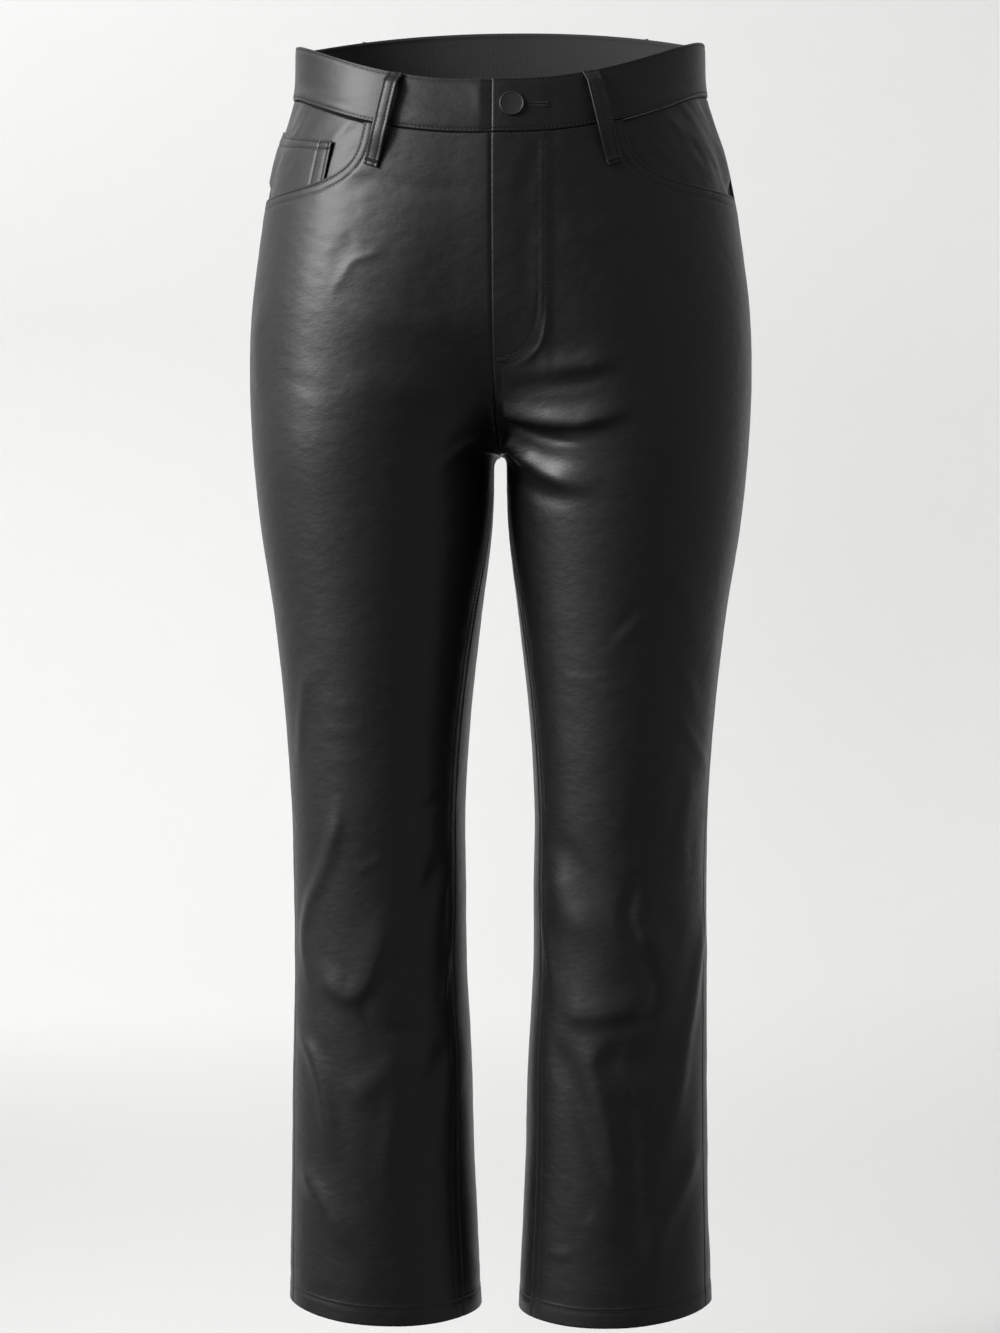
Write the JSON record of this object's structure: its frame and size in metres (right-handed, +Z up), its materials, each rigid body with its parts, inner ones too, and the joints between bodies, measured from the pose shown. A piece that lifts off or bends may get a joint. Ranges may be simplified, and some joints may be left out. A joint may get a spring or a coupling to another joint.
{
  "type": "faux leather trousers",
  "caption": "High-waisted straight-leg faux leather trousers, filled out as worn, with a curved waistband, scoop pockets, a coin pocket, a fly and belt loops.",
  "frame": {"origin": "middle of the waist opening, level with the waistband's top edge at the side seams", "axes": "+Z up through the waist, -Y to the front, +X to the wearer's left"},
  "size_m": [0.397, 0.2697, 1.0303],
  "materials": {
    "faux_leather": "black faux leather with a fine faint grain and a soft sheen",
    "zip_tape": "black woven zip tape",
    "button_metal": "matte black painted metal"
  },
  "bodies": {
    "root": {"front_right": "faux_leather", "front_left": "faux_leather", "back_right": "faux_leather", "back_left": "faux_leather", "waistband": "faux_leather", "pocket_facing_right": "faux_leather", "pocket_facing_left": "faux_leather", "coin_pocket": "faux_leather", "belt_loop_front_right": "faux_leather", "belt_loop_front_left": "faux_leather", "belt_loop_back_right": "faux_leather", "belt_loop_back_left": "faux_leather", "belt_loop_centre_back": "faux_leather", "fly_shield": "faux_leather", "fly_zip": "zip_tape", "button": "button_metal"}
  },
  "joints": []
}
